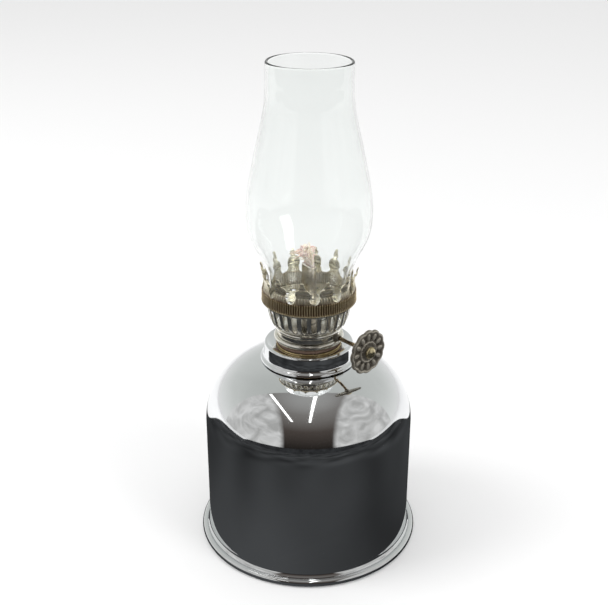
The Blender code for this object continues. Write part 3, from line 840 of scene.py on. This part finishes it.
def make_basket(maker):
    """Drawn bowl with its ring of slots, each with a lightly pressed rim."""
    bottom, top = heights("air_basket")
    lip = BAND_RADIUS - 0.0004
    lip_z = top - SHEET
    bowl = [(BASKET_FOOT_RADIUS, bottom), (0.0166, bottom + 0.0010)]
    bowl += [(0.0176, bottom + 0.0031), (0.0185, bottom + 0.0067), (0.0193, lip_z - 0.0007)]
    bowl += [(lip - 0.0006, lip_z - 0.0001), (lip, lip_z)]
    wall = Wall(flowing(bowl, 6), BASKET_SLOT_RADIUS)
    pitch = 2 * pi * wall.radius / SLOT_COUNT
    slot_low, slot_high = wall.v_at_height(bottom + 0.0019), wall.v_at_height(bottom + 0.0105)
    slot = stadium(SLOT_WIDTH, slot_low, slot_high, 12)
    half, end = pitch / 2, wall.lengths[-1]
    sector = [(-half, 0.0), (half, 0.0), (half, end), (-half, end)]

    def rim(u, v):
        nearest = min(max(v, slot_low + SLOT_WIDTH / 2), slot_high - SLOT_WIDTH / 2)
        away = hypot(u, v - nearest) - SLOT_WIDTH / 2
        return -0.00016 * exp(-((away / 0.00022) ** 2)), 0.0

    steps, turn = (0.0002, 0.0003), pi / SLOT_COUNT
    bowl = pressed_sheet("slotted_bowl", wall, [sector, slot], steps, SLOT_COUNT, turn, rim)
    maker.add(bowl, "air_basket", "burner", "nickel_plate", "nickel", 50)


def prong_side():
    """Right-hand side of a prong as (half width, height above the band), bottom to top."""
    pitch = 2 * pi * BAND_RADIUS / PRONG_COUNT
    root = 0.0032
    bowl = pitch / 2 - root
    gap_bottom = [(pitch / 2 - u, v) for u, v in arc(0.0, bowl, bowl, bowl, -90, -6, 9)]
    top = PRONG_HEIGHT
    neck = [(0.00300, 0.0026), (0.00272, 0.0031)]
    cap = [(0.00305, 0.0036), (0.00330, 0.0045), (0.00315, 0.0055), (0.00240, 0.0063)]
    ball = [(0.00120, 0.0067), (0.00105, 0.0070), (0.00145, 0.0076), (0.00145, 0.0083)]
    finial = [(0.00090, 0.0090), (0.00075, 0.0094), (0.00072, top - 0.0004), (0.00040, top)]
    return gap_bottom + flowing([*neck, *cap, *ball, *finial], 3)


def make_crown(maker):
    """Gallery crown: a ribbed band and twelve fluted prongs with caps, balls and finials."""
    bottom, tip_z = heights("gallery_crown")
    corner = arc(BAND_RADIUS - 0.0005, bottom + 0.0005, 0.0005, 0.0005, -90, 0, 6)
    lip = line((BAND_LIP_RADIUS, bottom), corner[0], 4)
    leaning = [(-0.0001, BAND_TOP_Z + 0.0002), (-0.0008, tip_z - 0.0060)]
    leaning += [(0.0001, tip_z - 0.0030), (0.0013, tip_z)]
    prong = flowing([(BAND_RADIUS + out, z) for out, z in leaning], 14)
    band = line(corner[-1], prong[0], 16)
    wall = Wall([*lip, *corner[:-1], *band, *prong], BAND_RADIUS)
    top_v = wall.v_at_height(BAND_TOP_Z)
    band_v = wall.v_at_height(bottom + 0.0004)
    stretch = (wall.lengths[-1] - top_v) / PRONG_HEIGHT
    pitch = 2 * pi * BAND_RADIUS / PRONG_COUNT
    side = [(u, top_v + v * stretch) for u, v in prong_side()]
    left = [(-u, v) for u, v in reversed(side)]
    outline = [(-pitch / 2, 0.0), (pitch / 2, 0.0), *side, *left]
    rib = pitch / RIBS_PER_PRONG

    def relief(u, v):
        height = v - top_v
        if height <= 0.0006:
            from_low, from_high = (v - band_v + 0.0006) / 0.0008, (0.0006 - height) / 0.0010
            edge = min(1.0, max(0.0, from_low), max(0.0, from_high))
            wave = 0.5 + 0.5 * cos(2 * pi * u / rib)
            bead = exp(-(((v - band_v) / 0.00045) ** 2))
            # The second value marks the rib crests and the lower bead, which the crown's colour
            # paints pale: wear together with a painted highlight
            return 0.00040 * edge * sqrt(wave) + 0.00016 * bead, max(edge * wave, bead)
        flute = 0.5 + 0.5 * cos(2 * pi * u / 0.00135)
        if height < 0.0031:
            fade = min(1.0, (height - 0.0006) / 0.0006, (0.0031 - height) / 0.0004)
            return 0.00026 * max(0.0, fade) * flute, 0.3 + 0.5 * flute
        if height < 0.0066:
            cap = sin(pi * (height - 0.0031) / 0.0035)
            ring = exp(-(((height - 0.0041) / 0.00025) ** 2))
            return 0.0005 * cap * (1 - (u / 0.0048) ** 2) - 0.00018 * ring, 0.35 + 0.5 * cap
        ball = max(0.0, 1 - ((height - 0.0080) / 0.0013) ** 2 - (u / 0.0018) ** 2)
        return 0.0006 * sqrt(ball), 0.3 + 0.6 * ball

    name, steps = "gallery_crown_sheet", (0.00018, 0.00026)
    crown = pressed_sheet(name, wall, [outline], steps, PRONG_COUNT, PRONG_TURN, relief)
    maker.add(crown, "gallery_crown", "burner", "aged_brass", "crown", 60)


# ---- The wick raiser ----
def make_shaft(maker):
    """Bronzed shaft with two rolled grooves and a chamfered inner end."""
    start, length = along_x("raiser_shaft")
    outline = [(0.0, 0.0), (SHAFT_RADIUS - 0.0002, 0.0), (SHAFT_RADIUS, 0.0002)]
    grooves = (0.62 * length, 0.62 * length + 0.0016)
    for i in range(60):
        z = 0.0004 + (length - 0.0008) * i / 59
        depth = sum(exp(-(((z - groove) / 0.0004) ** 2)) for groove in grooves)
        outline.append((SHAFT_RADIUS - 0.00012 * depth, z))
    outline += [(SHAFT_RADIUS, length), (0.0, length)]

    def drawn(radius, z, angle):
        wave = 0.00004 * sin(3 * angle + 900 * z)
        return wave if z > 0.0004 and radius > SHAFT_RADIUS / 2 else 0.0

    mesh = along_shaft("shaft", outline, start, 48, drawn, closed=False)
    maker.add(mesh, "raiser_shaft", "wick_raiser", "antique_pewter", "bronze")


def make_sleeve(maker):
    """Plain bush round the shaft, in the waist's wall, with a chamfered outer end."""
    start, length = along_x("shaft_sleeve")
    outer, bore = half_height("shaft_sleeve"), SHAFT_BORE
    outline = [(bore, 0.0), (outer - 0.0001, 0.0), (outer, 0.0001), (outer, length - 0.0003)]
    outline += [(outer - 0.0003, length), (bore + 0.0001, length), (bore, length - 0.0001)]
    mesh = along_shaft("sleeve", outline, start, 64)
    maker.add(mesh, "shaft_sleeve", "burner", "antique_pewter", "dark_metal")


def knob_edge(angle):
    """The knob's scalloped radius at an angle."""
    return KNOB_RADIUS - KNOB_LOBE_DEPTH * (1 - abs(cos(KNOB_LOBES * angle / 2)))


def knob_relief(t, angle):
    """How far the pressed pattern stands up, from 0 to 1, at a share t of the knob's radius."""

    def ridge(centre, width):
        return exp(-(((t - centre) / width) ** 2))

    lobes = 0.5 + 0.5 * cos(KNOB_LOBES * angle)
    rim = 0.75 * ridge(0.925, 0.050)
    pillow = 0.30 * ridge(0.80, 0.06) * lobes
    petal_along = (t - 0.67) / 0.16
    petal_across = abs(sin(KNOB_LOBES * angle / 2)) / 0.80
    petal = 0.85 * sqrt(max(0.0, 1 - petal_along**2 - petal_across**2))
    inner = 0.70 * ridge(0.45, 0.035)
    beads = 0.45 * ridge(0.385, 0.030) * (0.5 + 0.5 * cos(2 * KNOB_LOBES * angle))
    seat = 0.35 * ridge(0.20, 0.10)
    return rim + pillow + petal + inner + beads + seat


def knob_pit(t, angle, radius):
    """Depth, from 0 to 1, of the small pits between the petals."""
    step = 2 * pi / KNOB_LOBES
    across = ((angle / step) % 1.0 - 0.5) * step * t * radius
    away = hypot(across, (t - 0.61) * radius)
    return 1 / (1 + exp((away - 0.00042) / 0.00004))


def make_knob(maker):
    """Stamped rosette: scalloped edge, rolled rim, ring of petals and small pits."""
    start, thickness = along_x("knob_disc")
    end = start + thickness
    work = bmesh.new()
    layer = work.verts.layers.float.new("relief")

    def ring(x_at, t):
        made = []
        for k in range(KNOB_STEPS):
            angle = k * (2 * pi / KNOB_STEPS)
            radius = knob_edge(angle) * t
            x, value = x_at(t, angle)
            y, z = SHAFT_Y + radius * cos(angle), SHAFT_Z + radius * sin(angle)
            vert = work.verts.new((x, y, z))
            vert[layer] = value
            made.append(vert)
        return made

    def face(t, angle):
        return knob_relief(t, angle), knob_pit(t, angle, knob_edge(angle))

    def front(t, angle):
        raised, pit = face(t, angle)
        dished = 0.00009 * (1 - min(1.0, t / 0.86) ** 2)
        depth = 0.00062 - 0.00052 * raised + 0.00045 * pit + dished
        round_edge = 0.00022 * max(0.0, (t - 0.965) / 0.035) ** 2
        return end - min(thickness - 0.0003, max(0.0, depth + round_edge)), raised * (1 - pit)

    def back(t, angle):
        raised, pit = face(t, angle)
        depth = 0.00004 + 0.00026 * raised + 0.00022 * pit
        return start + min(0.0005, depth), 0.45 * (1 - raised) * (1 - pit)

    bore, rows = KNOB_BORE_SHARE, KNOB_ROWS
    shares = [bore + (1 - bore) * i / rows for i in range(rows + 1)]
    rings = [ring(front, t) for t in shares]
    rings += [ring(back, t) for t in reversed(shares)]
    join(work, zip(rings, rings[1:] + rings[:1]))
    mesh = finished("knob_rosette", work)
    maker.add(mesh, "knob_disc", "wick_raiser", "antique_pewter", "pewter", 60)


def make_boss(maker):
    """Spun boss behind the knob, waisted towards the shaft."""
    start, length = along_x("knob_boss")
    outer, bore = half_height("knob_boss"), SHAFT_BORE
    neck = bore + 0.0004
    waisted = [(neck, 0.0001), (neck + 0.0001, 0.45 * length), (outer - 0.0001, 0.8 * length)]
    outline = [(bore, 0.0), (neck, 0.0), *flowing(waisted, 6)]
    outline += [(outer, 0.86 * length), (outer, length), (bore, length)]
    mesh = along_shaft("knob_collar", outline, start, 64)
    maker.add(mesh, "knob_boss", "wick_raiser", "antique_pewter", "dark_metal")


def make_rivet(maker):
    """Rivet head: a hammered dome on a thin flange."""
    start, height = along_x("knob_rivet")
    outer = half_height("knob_rivet")
    dome = outer * 0.95
    outline = [(0.0, 0.0), (outer - 0.0001, 0.0), (outer, 0.0001), (outer, 0.0003)]
    outline += [(outer - 0.0001, 0.0004), *arc(0.0, 0.0004, dome, height - 0.0004, 0, 88, 22)]
    outline.append((0.0, height))

    def hammered(radius, z, angle):
        wave = 0.00004 * sin(5 * angle + 4000 * z)
        return wave if radius > 0.0002 and z > 0.0005 else 0.0

    mesh = along_shaft("rivet_head", outline, start, 72, hammered, closed=False)
    maker.add(mesh, "knob_rivet", "wick_raiser", "plain_brass", "rivet")


# ---- The wick ----
def make_wick(maker):
    """Flat woven wick: warp cords side by side in the tube and a frayed tuft above it."""
    bottom = low("wick").z
    work = bmesh.new()
    layer = work.verts.layers.float.new("strand")
    chance = random.Random(11)
    spacing = WICK_WIDTH / WICK_CORDS
    for i in range(WICK_CORDS):
        x = (i + 0.5) * spacing - WICK_WIDTH / 2
        top = TUBE_TOP_Z + 0.0012 + 0.0012 * chance.random()
        path, radii = [], []
        for k in range(CORD_PIECES + 1):
            z = bottom + (top - bottom) * k / CORD_PIECES
            path.append(Vector((x, 0.00012 * sin(z * 2600 + pi * i), z)))
            radii.append(0.00050 + 0.00004 * sin(z * 5200 + i))
        tube_along(work, path, radii, 10, layer, 0.35 + 0.3 * chance.random())
    weft_z = bottom + 0.002
    while weft_z < TUBE_TOP_Z + 0.0008:
        turns = []
        for share in [k / WEFT_PIECES for k in range(WEFT_PIECES + 1)]:
            x = cos(pi * share) * (WICK_WIDTH / 2 - 0.0001)
            y = 0.00042 * sin(WICK_CORDS * pi * share)
            turns.append(Vector((x, y, weft_z + 0.0002 * share)))
        tube_along(work, turns, [0.00020] * len(turns), 6, layer, 0.6)
        weft_z += 0.0010
    add_tuft(work, layer, chance)
    mesh = finished("woven_wick", work)
    maker.add(mesh, "wick", "wick", "cotton_wick", "cotton", 80)


def add_tuft(work, layer, chance):
    """Frayed strands: a round, curly head and a lock that leans out towards -X and -Y."""
    lean = Vector((-0.67, -0.74, 0.0))
    for _ in range(TUFT_STRANDS):
        x = chance.uniform(-1.0, 1.0) * (WICK_WIDTH / 2 - 0.0003)
        y = chance.uniform(-1.0, 1.0) * 0.0005
        start = Vector((x, y, TUBE_TOP_Z + chance.uniform(0.0000, 0.0014)))
        lock = chance.random() < 0.26
        reach = lean * chance.uniform(0.0, 0.0010)
        if lock:
            reach = lean * chance.uniform(0.0020, 0.0058)
        reach += Vector((chance.gauss(0, 0.0011), chance.gauss(0, 0.0011), 0.0))
        height = chance.uniform(0.0026, 0.0054) if lock else chance.uniform(0.0034, 0.0078)
        curl = chance.uniform(0.0003, 0.0010)
        phase = chance.uniform(0, 2 * pi)
        rate = chance.uniform(3.0, 8.0)
        thick = chance.uniform(0.00016, 0.00030)
        path, radii = [], []
        for t in [k / STRAND_PIECES for k in range(STRAND_PIECES + 1)]:
            sway = Vector((cos(phase + rate * t), sin(phase + rate * t), 0.0)) * curl * t
            rise = Vector((0.0, 0.0, height * sin(2.1 * t) / sin(1.55)))
            path.append(start + reach * t**1.3 + sway + rise)
            radii.append(thick * (1.0 - 0.35 * t**3))
        tube_along(work, path, radii, 6, layer, chance.uniform(0.1, 1.0))


# ---- The chimney ----
def make_chimney(maker):
    """Blown glass: fire-polished rim, straight neck, bulge and waist, a little out of round."""
    bottom, top = heights("chimney")
    neck = [(0.0184, top - 0.0006), (0.0185, 0.2170), (0.0193, 0.2060)]
    bulge = [(0.0237, 0.1860), (0.0273, 0.1670), (0.0268, 0.1530)]
    waist = [(0.0219, 0.1415), (0.0187, 0.1325), (0.0190, bottom + 0.0006)]
    outline = shell(flowing([*neck, *bulge, *waist], 14), CHIMNEY_GLASS, 7)

    def blown(radius, z, angle):
        return 0.00005 * sin(2 * angle + 30 * z) + 0.00003 * sin(5 * angle - 60 * z)

    mesh = turned("glass_chimney", outline, relief=blown)
    piece = maker.add(mesh, "chimney", "chimney", "clear_glass", "glass", 60)
    piece.visible_shadow = False


# ---- Light, floor and what the polished metal mirrors ----
def area_light(name, place, target, size, power):
    """A soft light that polished metal doesn't mirror."""
    data = bpy.data.lights.new(name, "AREA")
    data.shape = "RECTANGLE"
    data.size, data.size_y = size
    data.energy = power
    light = placed(name, data)
    light.location = place
    aim = Vector(target) - Vector(place)
    light.rotation_euler = aim.to_track_quat("-Z", "Y").to_euler()
    light.visible_glossy = False


def make_world():
    """White light all round, and the studio that polished metal mirrors.

    Seen from the lamp, the mirrored studio has a pale backdrop behind it, a dim ceiling over
    the camera and a crumpled pale sheet to either side of that.
    """
    world = bpy.data.worlds.new("studio")
    bpy.context.scene.world = world
    tree = Tree(world, "Generated")
    turned_round = {"Vector": tree.place, "Rotation": (0.0, 0.0, -CAMERA_AZIMUTH)}
    direction = tree.add("Mapping", turned_round)
    behind, height = tree.along(direction, "Y"), tree.along(direction, "Z")
    aside = tree.maths("ABSOLUTE", tree.along(direction, "X"))

    creases = tree.noise(2.6, 5.0, 0.5, distortion=1.6)
    folds = [(0.34, (0.46, 0.46, 0.45)), (0.50, (0.62, 0.62, 0.61)), (0.66, (0.78, 0.78, 0.77))]
    sheet = tree.ramp(creases, *folds)
    dim = [(0.10, (0.020, 0.017, 0.015)), (0.55, (0.075, 0.062, 0.055))]
    ceiling = tree.ramp(height, *dim, (0.88, (0.22, 0.21, 0.20)), (1.00, (0.36, 0.36, 0.35)))
    pale = [(0.02, (0.84, 0.85, 0.84)), (0.35, (0.68, 0.70, 0.68)), (1.00, (0.50, 0.52, 0.50))]
    backdrop = tree.ramp(height, *pale)
    front = tree.mixed(tree.spread(aside, 0.0, 1.0, 0.42, 0.50), ceiling, sheet)
    mirrored = tree.mixed(tree.spread(behind, 0.0, 1.0, 0.185, 0.200), front, backdrop)

    glossy = tree.add("LightPath", {}, "Is Glossy Ray")
    refracted = tree.add("LightPath", {}, "Is Transmission Ray")
    in_metal = tree.maths("SUBTRACT", glossy, refracted, clamp=True)
    seen = tree.mixed(in_metal, (1.0, 1.0, 1.0), mirrored)
    background = tree.nodes["Background"].inputs
    tree.put(background["Color"], seen)
    tree.put(background["Strength"], 0.92)


def glow(name, colour, strength, uneven):
    """An emitting material for the cards that only polished metal sees."""
    material = bpy.data.materials.new(name)
    tree = Tree(material, "Object")
    tree.nodes.remove(tree.nodes["Principled BSDF"])
    clouds = tree.noise(7.0, 1.0, 0.5)
    power = tree.spread(clouds, strength * (1 - uneven), strength * (1 + uneven), 0.3, 0.7)
    light = tree.add("Emission", {"Color": colour, "Strength": power})
    tree.put(tree.nodes["Material Output"].inputs["Surface"], light)
    return material


def mirror_card(name, faces, material):
    """A card that only reflections see, from its faces' corners."""
    work = bmesh.new()
    for corners in faces:
        work.faces.new([work.verts.new(corner) for corner in corners])
    bmesh.ops.remove_doubles(work, verts=work.verts, dist=1e-6)
    card = placed(name, finished(name, work))
    card.data.materials.append(material)
    for ray in ("camera", "diffuse", "transmission", "shadow", "volume_scatter"):
        setattr(card, "visible_" + ray, False)


def make_table_card():
    """A dark table top that ends close behind the lamp and goes on beyond the camera."""
    near, far, z, steps = 0.15, 1.40, 0.0002, 120  # z keeps it just clear of the floor
    rim = []
    for k in range(steps):
        azimuth = 2 * pi * k / steps - pi
        share = 1 / (1 + exp((abs(azimuth) - radians(103)) / radians(6)))
        rim.append(from_camera(azimuth, near + (far - near) * share, z))
    centre = Vector((0.0, 0.0, z))
    faces = [(centre, here, there) for here, there in zip(rim, rim[1:] + rim[:1])]
    mirror_card("table_card", faces, glow("dark table", (0.92, 0.96, 1.0), 0.046, 0.5))


def make_table_edge_card():
    """The table's raised, dark far edge, which falls away to either side."""
    half_width, distance, height, steps = radians(70), 1.395, 0.205, 32
    columns = []
    for i in range(steps + 1):
        share = 2 * i / steps - 1
        top = 0.001 + height * max(0.0, cos(share * pi / 2)) ** 0.6
        foot, head = (from_camera(half_width * share, distance, z) for z in (0.0, top))
        columns.append((foot, head))
    faces = [(*first, *reversed(second)) for first, second in zip(columns, columns[1:])]
    mirror_card("table_edge_card", faces, glow("dark edge", (0.9, 0.94, 1.0), 0.030, 0.3))


def make_strip_cards():
    """Two strip lights in the ceiling; their ends are (to the right, towards the camera)."""
    ceiling_z = 2.0
    across, towards = from_camera(pi / 2, 1.0, 0.0), from_camera(0.0, 1.0, 0.0)
    half = across * 0.044
    strips = {"left": ((-1.0, -0.34), (-0.71, 1.60)), "right": ((0.18, -0.34), (0.06, 1.66))}
    strip = glow("strip light", (1.0, 1.0, 0.98), 2.6, 0.0)
    for side, ends in strips.items():
        start, end = (across * u + towards * v + Vector((0.0, 0.0, ceiling_z)) for u, v in ends)
        corners = (start - half, start + half, end + half, end - half)
        mirror_card(side + "_strip_card", [corners], strip)


def make_floor():
    bpy.ops.mesh.primitive_plane_add(size=60, location=(0, 0, 0))
    floor = bpy.context.object
    floor.name = "floor"
    shader = Shader("pale floor", (0.86, 0.86, 0.86), 0.8, 0.0)
    shader.finish({"Specular IOR Level": 0.1})
    floor.data.materials.append(shader.material)


def make_light():
    bpy.context.scene.view_settings.view_transform = "Standard"
    make_world()
    make_floor()
    make_table_card()
    make_table_edge_card()
    make_strip_cards()
    area_light("key", (-0.6, -0.9, 1.2), (0, 0, 0.1), (0.7, 0.7), 9)
    area_light("side", (1.1, 0.2, 0.8), (0, 0, 0.1), (0.5, 0.8), 5)


# Nodes that keep their CAD shape, by finish
CARRIED = {
    "nickel": ("chimney_seat", "tube_plate", "wheel_cover"),
    "tube": ("wick_tube",),
    "brass": ("spur_wheel_inner", "spur_wheel_outer"),
}


def make_materials():
    return {
        "chrome": chrome_plate("chrome plate"),
        "nickel": nickel_plate("nickel plate"),
        "tube": nickel_plate("wick tube nickel", (0.78, 0.74, 0.67), 0.5),
        "crown": aged_brass("aged brass and nickel"),
        "brass": turned_brass("plain brass"),
        "rivet": rivet_brass("rivet brass"),
        "pewter": antique_pewter("antique pewter", True),
        "dark_metal": antique_pewter("antique plate", False),
        "bronze": bronzed_steel("bronzed steel"),
        "fibre": seal_fibre("seal fibre"),
        "cotton": cotton("cotton"),
        "glass": clear_glass("clear glass"),
    }


def main():
    make_camera()
    materials = make_materials()
    for finish, nodes in CARRIED.items():
        for node in nodes:
            surface = frame["nodes"][node].data.materials
            surface.clear()
            surface.append(materials[finish])
    maker = Maker(materials)
    tank = (make_tank, make_foot, make_collar, make_bush, make_seal)
    burner = (make_burner_base, make_waist, make_basket, make_crown)
    raiser = (make_shaft, make_sleeve, make_knob, make_boss, make_rivet)
    for make in (*tank, *burner, *raiser, make_wick, make_chimney):
        make(maker)
    make_light()


main()
